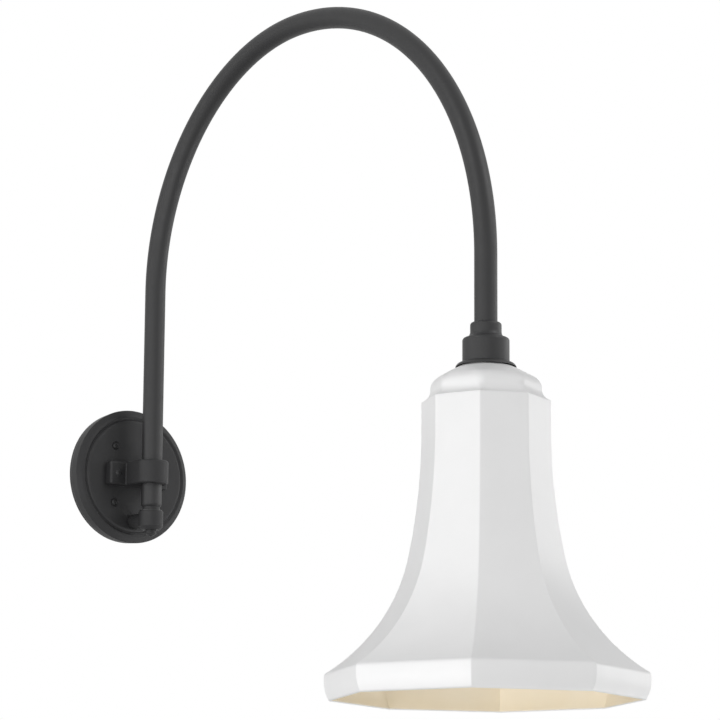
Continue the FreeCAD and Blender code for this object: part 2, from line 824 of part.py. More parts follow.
def lampholder():
    """Glazed porcelain body with a deep cavity for the lamp's screw shell."""
    bottom = holder_top - holder_length
    cavity_r = shell_r + cavity_gap
    cavity_top = bottom + shell_mouth + shell_length + cavity_clear
    body = turned(
        (0, holder_top),
        (holder_r, holder_top),
        (holder_r, bottom + holder_mouth_chamfer),
        (holder_r - holder_mouth_chamfer, bottom),
        (cavity_r, bottom),
        (cavity_r, cavity_top),
        (0, cavity_top),
    )
    through = holder_top + overrun
    strap_hole = rod(holder_screw_r + seat_gap, holder_top - holder_screw_length, through)
    terminal_hole = rod(m4_r + seat_gap, holder_top - terminal_length, through)
    for side in (-1, 1):
        body = body.cut(moved(strap_hole, side * holder_screw_offset, 0, 0))
        body = body.cut(moved(terminal_hole, 0, side * terminal_offset, 0))
    return on_shade_axis(body.cut(rod(rivet_r + seat_gap, cavity_top - overrun, through)))


def screw_shell():
    """Brass shell that the lamp screws into."""
    low = holder_top - holder_length + shell_mouth
    high = low + shell_length
    shell = turned(
        (shell_r - shell_wall, low),
        (shell_r, low),
        (shell_r, high),
        (shell_end_hole_r, high),
        (shell_end_hole_r, high - shell_end),
        (shell_r - shell_wall, high - shell_end),
    )
    return on_shade_axis(shell)


def centre_contact():
    """Brass contact disc with its rivet through the porcelain."""
    cavity_top = holder_top - holder_length + shell_mouth + shell_length + cavity_clear
    disc_low = cavity_top - contact_thickness
    contact = rod(contact_r, disc_low, cavity_top - seat_gap)
    return on_shade_axis(contact.fuse(rod(rivet_r, disc_low, holder_top - seat_gap)))


def holder_strap():
    """Steel strap with a threaded hub that hangs the lampholder on the nipple."""
    half_length = strap_length / 2
    half_width = strap_width / 2
    strap_top = holder_top + strap_thickness
    hub_top = strap_top + strap_hub_height
    through = holder_top - overrun
    strap = block(-half_length, half_length, -half_width, half_width, holder_top, strap_top)
    strap = strap.fuse(rod(strap_hub_r, holder_top, hub_top))
    strap = strap.cut(rod(nipple_r + seat_gap, through, hub_top + overrun))
    for side in (-1, 1):
        hole = rod(holder_screw_r + seat_gap, through, hub_top, side * holder_screw_offset, 0)
        strap = strap.cut(hole)
    return on_shade_axis(strap)


def holder_screws():
    """Two screws that hold the strap on the porcelain."""
    seat = holder_top + strap_thickness
    tip = seat - holder_screw_length
    screw = plain_screw(holder_head_r, holder_head_height, holder_screw_r, tip, seat)
    return on_shade_axis(group([moved(screw, side * holder_screw_offset, 0, 0) for side in (-1, 1)]))


def terminal_screws():
    """Two brass screws in the top of the porcelain for the lamp's wires."""
    tip = holder_top - terminal_length + terminal_tip_gap
    screw = plain_screw(terminal_head_r, terminal_head_height, m4_r, tip, holder_top)
    return on_shade_axis(group([moved(screw, 0, side * terminal_offset, 0) for side in (-1, 1)]))


pieces = [
    wall_gasket, adapter_plate, ground_screw, backplate, cover_screws,
    arm_bracket, bracket_screws, bracket_nuts, arm_bush, friction_screw,
    elbow_housing, elbow_locknut, elbow_plug, thrust_washer,
    gooseneck_tube, pivot_spigot, spigot_clip,
    neck_ring, neck_grub_screw, socket_cup, cup_locknut, socket_nipple,
    shade_skirt, shade_gasket, shade, shade_ring,
    holder_strap, holder_screws, lampholder, terminal_screws, screw_shell, centre_contact,
]

os.makedirs("parts", exist_ok=True)
for make in pieces:
    make().exportStep("parts/" + make.__name__ + ".step")
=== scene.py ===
import math

import bmesh
import bpy
from mathutils import Matrix, Vector


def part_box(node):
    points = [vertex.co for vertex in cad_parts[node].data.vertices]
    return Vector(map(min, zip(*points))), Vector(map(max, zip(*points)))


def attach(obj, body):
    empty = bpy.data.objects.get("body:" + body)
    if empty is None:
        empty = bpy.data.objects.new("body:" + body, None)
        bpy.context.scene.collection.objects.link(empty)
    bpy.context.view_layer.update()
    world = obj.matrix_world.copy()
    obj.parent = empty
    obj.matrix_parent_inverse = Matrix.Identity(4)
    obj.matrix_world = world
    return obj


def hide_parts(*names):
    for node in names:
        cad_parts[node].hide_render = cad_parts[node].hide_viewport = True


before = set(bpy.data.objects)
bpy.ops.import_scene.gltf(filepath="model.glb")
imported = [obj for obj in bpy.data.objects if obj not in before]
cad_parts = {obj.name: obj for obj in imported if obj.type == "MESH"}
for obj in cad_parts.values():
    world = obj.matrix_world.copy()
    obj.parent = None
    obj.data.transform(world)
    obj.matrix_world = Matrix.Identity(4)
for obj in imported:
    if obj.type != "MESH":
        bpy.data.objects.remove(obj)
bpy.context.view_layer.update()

# Adapter plate, earth screw and foam ring: what the light hangs from and keeps the rain out with.
# The plate is pressed from zinc-plated steel and is screwed to the junction box, the green screw takes the
# earth wire, and a ring of closed-cell foam is squeezed between the wall and the backplate's rim.
mm = 0.001


def linear(colour):
    """An sRGB hex colour as linear red, green, blue and alpha."""
    channels = [int(colour[i:i + 2], 16) / 255 for i in (1, 3, 5)]
    return [c / 12.92 if c <= 0.04045 else ((c + 0.055) / 1.055) ** 2.4 for c in channels] + [1]


def add(tree, kind, inputs=None, **settings):
    """Adds a node. An input takes a plain value, a socket, or a node, whose first output is then linked."""
    made = tree.nodes.new(kind)
    for name, value in settings.items():
        setattr(made, name, value)
    for key, value in (inputs or {}).items():
        if isinstance(value, bpy.types.Node):
            value = value.outputs[0]
        if isinstance(value, bpy.types.NodeSocket):
            tree.links.new(value, made.inputs[key])
        else:
            made.inputs[key].default_value = value
    return made


def blank_material(name):
    """A new material, its emptied node tree, and the object's own coordinates in that tree."""
    made = bpy.data.materials.new(name)
    made.use_nodes = True
    tree = made.node_tree
    tree.nodes.clear()
    return made, tree, add(tree, "ShaderNodeTexCoord").outputs["Object"]


def dress(finish, *nodes):
    """Gives CAD nodes their finish."""
    for name in nodes:
        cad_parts[name].material_slots[0].material = finish


def zinc_plate():
    """Zinc-plated sheet steel: a cool grey metal with a faint cloudy spangle from the plating bath."""
    finish, tree, place = blank_material("zinc_plated_steel")
    clouds = add(tree, "ShaderNodeTexNoise", {"Vector": place, "Scale": 1 / (6 * mm), "Detail": 4.0})
    colour = add(tree, "ShaderNodeMix", {0: clouds, 6: linear("#9a9c9e"), 7: linear("#c3c4c2")}, data_type="RGBA")
    dull = add(tree, "ShaderNodeMapRange", {"Value": clouds, "To Min": 0.28, "To Max": 0.46})
    grain = add(tree, "ShaderNodeTexNoise", {"Vector": place, "Scale": 1 / (0.5 * mm), "Detail": 2.0})
    bump = add(tree, "ShaderNodeBump", {"Height": grain, "Strength": 0.15, "Distance": 0.05 * mm})
    shader = add(tree, "ShaderNodeBsdfPrincipled", {
        "Base Color": colour.outputs[2], "Metallic": 1.0, "Roughness": dull, "Normal": bump})
    add(tree, "ShaderNodeOutputMaterial", {"Surface": shader})
    return finish


def green_dye():
    """Green chromate dye over bright plating: a clear green metal, dull in the thread."""
    finish, tree, place = blank_material("green_dyed_plating")
    clouds = add(tree, "ShaderNodeTexNoise", {"Vector": place, "Scale": 1 / (2 * mm), "Detail": 3.0})
    colour = add(tree, "ShaderNodeMix", {0: clouds, 6: linear("#1f6b35"), 7: linear("#3c9a55")}, data_type="RGBA")
    shader = add(tree, "ShaderNodeBsdfPrincipled", {
        "Base Color": colour.outputs[2], "Metallic": 1.0, "Roughness": 0.32})
    add(tree, "ShaderNodeOutputMaterial", {"Surface": shader})
    return finish


def cell_foam():
    """Closed-cell foam rubber: a matte near-black with the small round cells of its cut edge."""
    finish, tree, place = blank_material("closed_cell_foam_rubber")
    cells = add(tree, "ShaderNodeTexVoronoi", {"Vector": place, "Scale": 1 / (0.8 * mm)})
    colour = add(tree, "ShaderNodeMix", {0: cells, 6: linear("#151515"), 7: linear("#2b2b2a")}, data_type="RGBA")
    bump = add(tree, "ShaderNodeBump", {"Height": cells, "Strength": 0.6, "Distance": 0.2 * mm})
    shader = add(tree, "ShaderNodeBsdfPrincipled", {
        "Base Color": colour.outputs[2], "Roughness": 0.85, "Specular IOR Level": 0.3, "Normal": bump})
    add(tree, "ShaderNodeOutputMaterial", {"Surface": shader})
    return finish


zinc = zinc_plate()
foam = cell_foam()
dress(zinc, "adapter_plate")
dress(green_dye(), "ground_screw")
dress(foam, "wall_gasket")

# Backplate: a hollow casting with a sloping rim, a groove and a raised disc, which hides the junction box.
# It is die-cast, blasted and powder coated, as are the bracket and the elbow. Its groove is 1.4 mm deep here, as
# it looks in the photograph, and 2.6 mm deep in the solids.
groove_inner_r = 55.0 * mm
groove_outer_r = 58.9 * mm
groove_floor = -16.6 * mm
groove_back = -14.8 * mm
weld_gap = 0.001 * mm
edge_limit = math.radians(60)


def powder_coat(name, low_colour, high_colour, least_rough, shine):
    """Polyester powder coat, baked: a matte black skin with a fine pebbled grain that breaks up highlights."""
    finish, tree, place = blank_material(name)
    # The grit of the real coat is about 0.3 mm; it is drawn at 0.9 mm, the finest that shows
    grit = add(tree, "ShaderNodeTexNoise", {
        "Vector": place, "Scale": 1 / (0.9 * mm), "Detail": 3.0, "Roughness": 0.6})
    thickness = add(tree, "ShaderNodeTexNoise", {"Vector": place, "Scale": 1 / (14 * mm), "Detail": 2.0})
    colour = add(tree, "ShaderNodeMix", {0: grit, 6: linear(low_colour), 7: linear(high_colour)},
                 data_type="RGBA")
    dull = add(tree, "ShaderNodeMapRange", {
        "Value": thickness, "To Min": least_rough, "To Max": least_rough + 0.12})
    bump = add(tree, "ShaderNodeBump", {"Height": grit, "Strength": 0.35, "Distance": 0.12 * mm})
    shader = add(tree, "ShaderNodeBsdfPrincipled", {
        "Base Color": colour.outputs[2], "Roughness": dull, "Specular IOR Level": shine, "Normal": bump})
    add(tree, "ShaderNodeOutputMaterial", {"Surface": shader})
    return finish


def placed(name, data):
    """A new object in the scene."""
    made = bpy.data.objects.new(name, data)
    bpy.context.scene.collection.objects.link(made)
    return made


def settled(source, name):
    """Keeps what an object's modifiers make of its mesh as a plain piece, and removes the object."""
    graph = bpy.context.evaluated_depsgraph_get()
    mesh = bpy.data.meshes.new_from_object(source.evaluated_get(graph), depsgraph=graph)
    bpy.data.objects.remove(source)
    return placed(name, mesh)


def blasted_casting(node, name, finish):
    """A copy of a CAD node's mesh, with the groove round its disc filled up to its floor here."""
    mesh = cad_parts[node].data.copy()
    work = bmesh.new()
    work.from_mesh(mesh)
    bmesh.ops.remove_doubles(work, verts=work.verts, dist=weld_gap)
    for vert in work.verts:
        over_groove = groove_inner_r < math.hypot(vert.co.x, vert.co.z) < groove_outer_r
        if over_groove and groove_floor < vert.co.y < groove_back:
            vert.co.y = groove_floor
    bmesh.ops.dissolve_degenerate(work, edges=work.edges, dist=2 * weld_gap)
    work.to_mesh(mesh)
    work.free()
    mesh.shade_smooth()
    mesh.set_sharp_from_angle(angle=edge_limit)
    mesh.materials.clear()
    mesh.materials.append(finish)
    source = placed(name + "_base", mesh)
    weights = source.modifiers.new("even_shading", "WEIGHTED_NORMAL")
    weights.keep_sharp = True
    return settled(source, name)


black_coat = powder_coat("matte_black_powder_coat", "#1f1f20", "#29292a", least_rough=0.5, shine=0.32)
plate = blasted_casting("backplate", "blasted_backplate", black_coat)
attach(plate, "wall_mount")
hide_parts("backplate")

# Cover screws and bracket screws: six dome-headed machine screws with a cross recess, coated black.
# Four go through the raised disc into the adapter plate's pads, two through the bracket's ears.
head_r = 3.5 * mm
head_height = 2.2 * mm
head_rings = 20
head_spokes = 48
dome_power = 2.4
shank_r = 2.0 * mm
shank_sides = 24
recess_length = 4.0 * mm
recess_width = 0.9 * mm
recess_depth = 1.0 * mm
recess_flare = 1.7
merge_gap = 0.01 * mm
crease_limit = math.radians(40)


def new_tree(name, inputs):
    """A Geometry Nodes tree with a geometry input and output, and the inputs named."""
    tree = bpy.data.node_groups.new(name, "GeometryNodeTree")
    tree.interface.new_socket("Geometry", in_out="INPUT", socket_type="NodeSocketGeometry")
    for label, kind in inputs.items():
        tree.interface.new_socket(label, in_out="INPUT", socket_type="NodeSocket" + kind)
    tree.interface.new_socket("Geometry", in_out="OUTPUT", socket_type="NodeSocketGeometry")
    return tree


def line_mesh(points, **attributes):
    """A bare mesh of points joined in a row, with a number for each point under each name."""
    mesh = bpy.data.meshes.new("points")
    mesh.from_pydata(points, [(i, i + 1) for i in range(len(points) - 1)], [])
    for name, values in attributes.items():
        mesh.attributes.new(name, "FLOAT", "POINT").data.foreach_set("value", values)
    return mesh


def grown(name, base, tree, values):
    """Runs a tree on a bare mesh and keeps the result as a plain piece."""
    source = placed(name + "_base", base)
    modifier = source.modifiers.new("shape", "NODES")
    modifier.node_group = tree
    for item in tree.interface.items_tree:
        if item.in_out == "INPUT" and item.name in values:
            modifier[item.identifier] = values[item.name]
    return settled(source, name)


def welded(tree, *parts):
    """Parts joined into one skin, with the points that meet made one."""
    joined = add(tree, "GeometryNodeJoinGeometry")
    for part in parts:
        tree.links.new(part.outputs[0], joined.inputs[0])
    return add(tree, "GeometryNodeMergeByDistance", {"Geometry": joined, "Distance": merge_gap})


def creased(tree, skin):
    """Smooth shading that stops at the sharper edges."""
    angle = add(tree, "GeometryNodeInputMeshEdgeAngle").outputs["Unsigned Angle"]
    smooth = add(tree, "FunctionNodeCompare", {0: angle, 1: crease_limit}, operation="LESS_THAN")
    soft = add(tree, "GeometryNodeSetShadeSmooth", {"Geometry": skin})
    return add(tree, "GeometryNodeSetShadeSmooth", {"Geometry": soft, "Shade Smooth": smooth}, domain="EDGE")


def end_tree(tree, geometry, finish):
    """Ends a tree with a plain mesh in its finish."""
    plain = add(tree, "GeometryNodeRealizeInstances", {"Geometry": geometry})
    done = add(tree, "GeometryNodeSetMaterial", {"Geometry": plain, "Material": finish})
    add(tree, "NodeGroupOutput", {"Geometry": done})


def screw_tree():
    """Dome-headed screws on the given points, heads towards -Y: a polar grid is domed and its cross pressed in."""
    tree = new_tree("dome_screws", {
        "Head Radius": "Float", "Head Height": "Float", "Shank Radius": "Float", "Shank Length": "Float",
        "Recess Length": "Float", "Recess Width": "Float", "Recess Depth": "Float", "Finish": "Material"})
    given = add(tree, "NodeGroupInput").outputs
    grid = add(tree, "GeometryNodeMeshGrid", {
        "Size X": math.tau, "Size Y": 1.0, "Vertices X": head_spokes + 1, "Vertices Y": head_rings + 1})
    spot = add(tree, "ShaderNodeSeparateXYZ", {0: add(tree, "GeometryNodeInputPosition")})
    share = add(tree, "ShaderNodeMath", {0: spot.outputs["Y"], 1: 0.5}, operation="ADD")
    radius = add(tree, "ShaderNodeMath", {0: share, 1: given["Head Radius"]}, operation="MULTIPLY")
    across = add(tree, "ShaderNodeVectorRotate", {
        "Vector": add(tree, "ShaderNodeCombineXYZ", {"X": radius}), "Angle": spot.outputs["X"]},
        rotation_type="Z_AXIS")
    fall = add(tree, "ShaderNodeMath", {0: share, 1: dome_power}, operation="POWER")
    dome = add(tree, "ShaderNodeMath", {0: 1.0, 1: fall}, operation="SUBTRACT")
    rise = add(tree, "ShaderNodeMath", {0: dome, 1: given["Head Height"]}, operation="MULTIPLY")
    folded = add(tree, "ShaderNodeVectorMath", {0: across}, operation="ABSOLUTE")
    flat = add(tree, "ShaderNodeSeparateXYZ", {0: folded})
    long_side = add(tree, "ShaderNodeMath", {0: flat.outputs["X"], 1: flat.outputs["Y"]}, operation="MAXIMUM")
    short_side = add(tree, "ShaderNodeMath", {0: flat.outputs["X"], 1: flat.outputs["Y"]}, operation="MINIMUM")
    half_length = add(tree, "ShaderNodeMath", {0: given["Recess Length"], 1: 0.5}, operation="MULTIPLY")
    half_width = add(tree, "ShaderNodeMath", {0: given["Recess Width"], 1: 0.5}, operation="MULTIPLY")
    edge = add(tree, "ShaderNodeMath", {0: half_width, 1: recess_flare}, operation="MULTIPLY")
    in_width = add(tree, "ShaderNodeMapRange", {"Value": short_side, "From Min": edge, "From Max": half_width},
                   interpolation_type="SMOOTHSTEP")
    inner_length = add(tree, "ShaderNodeMath", {0: half_length, 1: half_width}, operation="SUBTRACT")
    in_length = add(tree, "ShaderNodeMapRange", {
        "Value": long_side, "From Min": half_length, "From Max": inner_length}, interpolation_type="SMOOTHSTEP")
    pressed = add(tree, "ShaderNodeMath", {0: in_width, 1: in_length}, operation="MULTIPLY")
    sunk = add(tree, "ShaderNodeMath", {0: pressed, 1: given["Recess Depth"]}, operation="MULTIPLY")
    height = add(tree, "ShaderNodeMath", {0: rise, 1: sunk}, operation="SUBTRACT")
    lifted = add(tree, "ShaderNodeVectorMath", {
        0: across, 1: add(tree, "ShaderNodeCombineXYZ", {"Z": height})}, operation="ADD")
    head = add(tree, "GeometryNodeSetPosition", {"Geometry": grid, "Position": lifted})
    head = add(tree, "GeometryNodeFlipFaces", {0: head})
    under = add(tree, "GeometryNodeMeshCircle", {
        "Vertices": head_spokes, "Radius": given["Head Radius"]}, fill_type="NGON")
    under = add(tree, "GeometryNodeFlipFaces", {0: under})
    middle = add(tree, "ShaderNodeMath", {0: given["Shank Length"], 1: -0.5}, operation="MULTIPLY")
    shank = add(tree, "GeometryNodeMeshCylinder", {
        "Vertices": shank_sides, "Radius": given["Shank Radius"], "Depth": given["Shank Length"]})
    shank = add(tree, "GeometryNodeTransform", {
        "Geometry": shank, "Translation": add(tree, "ShaderNodeCombineXYZ", {"Z": middle})})
    screw = creased(tree, welded(tree, head, under, shank))
    fitted = add(tree, "GeometryNodeInstanceOnPoints", {
        "Points": given["Geometry"], "Instance": screw, "Rotation": (math.pi / 2, 0, 0)})
    end_tree(tree, fitted, given["Finish"])
    return tree


def seats_of(node, below):
    """Where the screws of a CAD node sit: the middle of each loose solid, a head's height under its top."""
    low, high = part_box(node)
    x = (high.x - low.x) / 2 - head_r
    z = (high.z - low.z) / 2 - head_r
    levels = [z, -z] if z > head_r else [0.0]
    return [(side * x, low.y + below, level) for side in (-1, 1) for level in levels]


screws = screw_tree()
for node in ("cover_screws", "bracket_screws"):
    low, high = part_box(node)
    piece = grown(node + "_made", line_mesh(seats_of(node, head_height)), screws, {
        "Head Radius": head_r, "Head Height": head_height, "Shank Radius": shank_r,
        "Shank Length": high.y - low.y - head_height, "Recess Length": recess_length,
        "Recess Width": recess_width, "Recess Depth": recess_depth, "Finish": black_coat})
    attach(piece, "wall_mount")
    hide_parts(node)

# Arm bracket, its nuts, and the plastic bush that the arm turns in.
# The bracket is one casting with two ears and a round-nosed barrel; a grub screw in its side presses the bush.


def turned_acetal():
    """Black acetal, turned from bar: a waxy near-black, a little smoother than the coat beside it."""
    finish, tree, place = blank_material("turned_black_acetal")
    marks = add(tree, "ShaderNodeTexNoise", {"Vector": place, "Scale": 1 / (1.5 * mm), "Detail": 2.0})
    colour = add(tree, "ShaderNodeMix", {0: marks, 6: linear("#1c1c1d"), 7: linear("#262627")}, data_type="RGBA")
    shader = add(tree, "ShaderNodeBsdfPrincipled", {
        "Base Color": colour.outputs[2], "Roughness": 0.42})
    add(tree, "ShaderNodeOutputMaterial", {"Surface": shader})
    return finish


acetal = turned_acetal()
dress(black_coat, "arm_bracket")
dress(zinc, "bracket_nuts", "friction_screw")
dress(acetal, "arm_bush")

# Elbow under the arm: a casting with a threaded stub into the wall plate, closed from below by a plug.
# The arm's hollow spigot turns in it on a plastic washer, held down by a spring clip.
dress(black_coat, "elbow_housing", "elbow_plug", "pivot_spigot")
dress(zinc, "elbow_locknut", "spigot_clip")
dress(acetal, "thrust_washer")

# Gooseneck: one steel tube, bent cold over two formers of unlike radius, then powder coated.
# Drawn steel is smoother than a casting, so the coat on it shines a little more. The spigot is pressed into its
# foot, and the neck's ring is held on its other end by a grub screw.
tube_r = 10.15 * mm
tube_wall = 1.6 * mm
tube_sides = 64
wall_bend_r = 225.3 * mm
wall_leg_top = 182.6 * mm
shade_leg_length = 70.9 * mm
turn_steps = 72
straight_steps = 8


def gooseneck_path():
    """The tube's centre line in the plane X = 0, from its foot at the wall to its end over the shade."""
    low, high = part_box("gooseneck_tube")
    wall_y = high.y - tube_r
    shade_y = low.y + tube_r
    shade_bend_r = wall_y - shade_y - wall_bend_r
    shade_leg_top = wall_leg_top + wall_bend_r - shade_bend_r
    points = [(0, wall_y, low.z + (wall_leg_top - low.z) * i / straight_steps) for i in range(straight_steps)]
    for i in range(turn_steps):
        turn = math.pi / 2 * i / turn_steps
        points.append((0, wall_y - wall_bend_r * (1 - math.cos(turn)),
                       wall_leg_top + wall_bend_r * math.sin(turn)))
    for i in range(turn_steps):
        turn = math.pi / 2 * (1 - i / turn_steps)
        points.append((0, shade_y + shade_bend_r * (1 - math.cos(turn)),
                       shade_leg_top + shade_bend_r * math.sin(turn)))
    return points + [(0, shade_y, shade_leg_top - shade_leg_length * i / straight_steps)
                     for i in range(straight_steps + 1)]


def tube_tree():
    """A tube swept along the given line of points, with its wall thickened inwards."""
    tree = new_tree("bent_tube", {"Outer Radius": "Float", "Wall": "Float", "Sides": "Int", "Finish": "Material"})
    given = add(tree, "NodeGroupInput").outputs
    path = add(tree, "GeometryNodeMeshToCurve", {"Mesh": given["Geometry"]})
    ring = add(tree, "GeometryNodeCurvePrimitiveCircle", {
        "Resolution": given["Sides"], "Radius": given["Outer Radius"]})
    skin = add(tree, "GeometryNodeCurveToMesh", {"Curve": path, "Profile Curve": ring})
    inwards = add(tree, "ShaderNodeMath", {0: given["Wall"], 1: -1.0}, operation="MULTIPLY")
    bore = add(tree, "GeometryNodeExtrudeMesh", {"Mesh": skin, "Offset Scale": inwards, "Individual": False})
    bore = add(tree, "GeometryNodeFlipFaces", {0: bore})
    end_tree(tree, creased(tree, welded(tree, skin, bore)), given["Finish"])
    return tree


smooth_coat = powder_coat("satin_black_powder_coat", "#1a1a1b", "#242425", least_rough=0.45, shine=0.42)
gooseneck = grown("gooseneck_bent_tube", line_mesh(gooseneck_path()), tube_tree(), {
    "Outer Radius": tube_r, "Wall": tube_wall, "Sides": tube_sides, "Finish": smooth_coat})
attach(gooseneck, "arm")
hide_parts("gooseneck_tube")

# Neck: a turned ring on the tube's end, a spun cup over the lampholder and a domed skirt under it, coated as the
# tube is. The ring's tail comes through the cup's roof, and a nut and a threaded pipe hang the rest from it.
dress(smooth_coat, "neck_ring", "socket_cup", "shade_skirt")
dress(zinc, "neck_grub_screw", "cup_locknut", "socket_nipple", "holder_strap", "holder_screws")

# Lampholder: a glazed porcelain body with a brass screw shell, centre contact and terminal screws.
# The body is screwed to the strap. The shell is drawn from thin strip and its thread is rolled in, so the thread
# shows inside and out.
thread_pitch = 3.63 * mm
thread_depth = 1.0 * mm
thread_run_out = 2.4 * mm
strip = 0.5 * mm
end_hole_r = 8.0 * mm
end_thickness = 0.8 * mm
shell_steps = 90
shell_columns = 72


def porcelain_glaze():
    """Slip-cast porcelain with a clear glaze: a warm white body under a glassy, slightly wavy skin."""
    finish, tree, place = blank_material("glazed_porcelain")
    waves = add(tree, "ShaderNodeTexNoise", {"Vector": place, "Scale": 1 / (5 * mm), "Detail": 2.0})
    colour = add(tree, "ShaderNodeMix", {0: waves, 6: linear("#e9e5d9"), 7: linear("#f3f0e7")}, data_type="RGBA")
    bump = add(tree, "ShaderNodeBump", {"Height": waves, "Strength": 0.2, "Distance": 0.2 * mm})
    shader = add(tree, "ShaderNodeBsdfPrincipled", {
        "Base Color": colour.outputs[2], "Roughness": 0.18, "Coat Weight": 0.6, "Coat Roughness": 0.06,
        "Normal": bump})
    add(tree, "ShaderNodeOutputMaterial", {"Surface": shader})
    return finish


def drawn_brass():
    """Deep-drawn brass strip: a bright yellow metal, a little tarnished where it was handled."""
    finish, tree, place = blank_material("drawn_brass")
    tarnish = add(tree, "ShaderNodeTexNoise", {"Vector": place, "Scale": 1 / (4 * mm), "Detail": 4.0})
    colour = add(tree, "ShaderNodeMix", {0: tarnish, 6: linear("#b08d46"), 7: linear("#dcbb6c")},
                 data_type="RGBA")
    dull = add(tree, "ShaderNodeMapRange", {"Value": tarnish, "To Min": 0.4, "To Max": 0.22})
    shader = add(tree, "ShaderNodeBsdfPrincipled", {
        "Base Color": colour.outputs[2], "Metallic": 1.0, "Roughness": dull})
    add(tree, "ShaderNodeOutputMaterial", {"Surface": shader})
    return finish


def rolled_shell(name, finish):
    """Screw shell of thin brass with a rolled thread that runs out at both ends, closed above but for a hole."""
    low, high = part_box("screw_shell")
    axis_y = (low.y + high.y) / 2
    shell_r = (high.x - low.x) / 2
    outside = []
    for i in range(shell_steps + 1):
        level = low.z + (high.z - low.z) * i / shell_steps
        run = min(level - low.z, high.z - level) / thread_run_out
        outside.append((shell_r, level, thread_depth * min(1, run)))
    end_level = high.z - end_thickness
    end = [(end_hole_r, high.z, 0), (end_hole_r, end_level, 0), (shell_r - strip, end_level, 0)]
    inside = [(r - strip, level, depth) for r, level, depth in outside[::-1] if level < end_level]
    rows = outside + end + inside
    points = []
    for r, level, depth in rows:
        for column in range(shell_columns):
            turn = math.tau * column / shell_columns
            wave = (1 - math.cos(math.tau * level / thread_pitch - turn)) / 2
            radius = r - depth * wave
            points.append((radius * math.cos(turn), axis_y + radius * math.sin(turn), level))
    faces = []
    for row in range(len(rows)):
        here = row * shell_columns
        above = (row + 1) % len(rows) * shell_columns
        for column in range(shell_columns):
            beside = (column + 1) % shell_columns
            faces.append((here + column, here + beside, above + beside, above + column))
    mesh = bpy.data.meshes.new(name)
    mesh.from_pydata(points, [], faces)
    mesh.shade_smooth()
    mesh.set_sharp_from_angle(angle=crease_limit)
    mesh.materials.append(finish)
    return placed(name, mesh)


brass = drawn_brass()
dress(porcelain_glaze(), "lampholder")
dress(brass, "centre_contact", "terminal_screws")
screw_shell = rolled_shell("rolled_screw_shell", brass)
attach(screw_shell, "arm")
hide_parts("screw_shell")

# Shade: eight sides pressed from sheet steel, with a domed top, a cove, a flare and a rolled lip.
# It is enamelled white outside and cream inside, and a threaded ring clamps it under the skirt. Its outline is
# given from the top down, in millimetres and degrees.
shade_sides = 8
shade_turn = math.radians(-1.75)
corner_steps = 5
flat_steps = 8
longest_step = 2.6
sheet = 1.4
hole_flat = 17.4
shade_top = 36.1
dome_flat = 20.4
dome_drop = 21.0
dome_flank = 45.64
dome_shoulder_r = 12.0
dome_shoulder_angle = 55.0
dome_crown = 0.3
crown_steps = 8
dome_rim = 2.0
dome_corner_r = 11.0
cove_height = 8.4
body_flat = 51.95
body_straight = 27.6
body_corner_r = 1.6
body_edge_r = 0.7
body_edge_turn = 80
body_edge_lift = 0.2
flare_top_r = 566.0
flare_top_angle = 11.07
flare_low_r = 153.3
lip_top_flat = 126.1
lip_flat = 128.9
lip_shoulder = 4.0
lip_straight = 4.6
lip_round = 16.0
lip_tuck = 4.4


def arc(centre_r, centre_h, radius, begin, end, steps):
    """Points along an arc, between two angles in degrees from the outward direction."""
    turns = [math.radians(begin + (end - begin) * i / steps) for i in range(steps + 1)]
    return [(centre_r + radius * math.cos(t), centre_h + radius * math.sin(t)) for t in turns]


def round_radius(width, height):
    """Radius of an arc that starts along the height and ends a width aside."""
    return (width * width + height * height) / (2 * width)


def filled(points, longest):
    """The same line with its long stretches divided."""
    line = [points[0]]
    for a, b in zip(points, points[1:]):
        count = max(1, math.ceil(math.dist(a, b) / longest))
        line += [(a[0] + (b[0] - a[0]) * i / count, a[1] + (b[1] - a[1]) * i / count)
                 for i in range(1, count + 1)]
    return line


